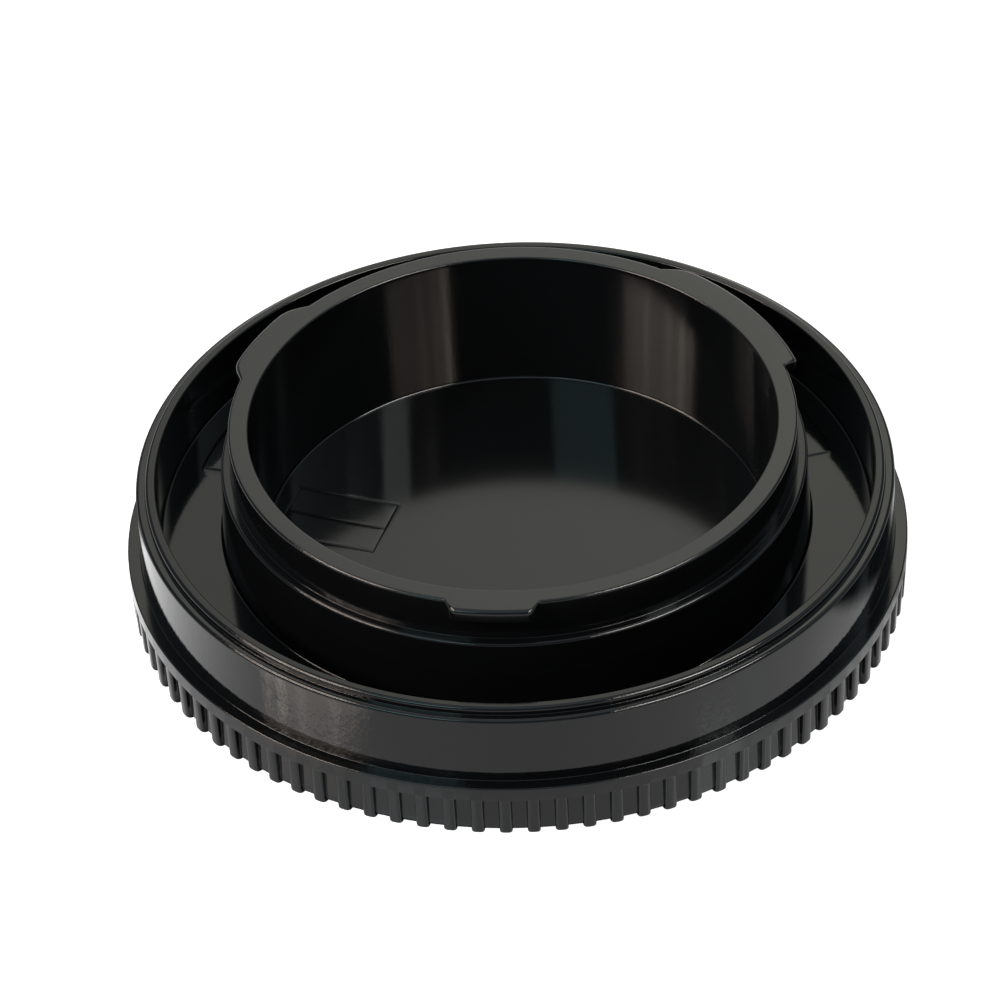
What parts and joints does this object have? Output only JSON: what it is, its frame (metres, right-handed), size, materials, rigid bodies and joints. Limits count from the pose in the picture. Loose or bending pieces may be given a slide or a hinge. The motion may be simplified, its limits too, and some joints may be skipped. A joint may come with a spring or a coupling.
{
  "type": "camera body cap",
  "caption": "Round moulded cap that closes a camera's lens mount: ribbed grip band, stepped outer wall, annular channel and a three-lug bayonet ring round a deep cup.",
  "frame": {"origin": "middle of the plane that the cap's front edge rests on", "axes": "+Z along the cap's axis, from the front face towards the bayonet; the narrow lug lies near -Y"},
  "size_m": [0.062, 0.062, 0.0158],
  "materials": {
    "cap_plastic": "gloss"
  },
  "bodies": {
    "root": {"body_cap": "cap_plastic"}
  },
  "joints": []
}
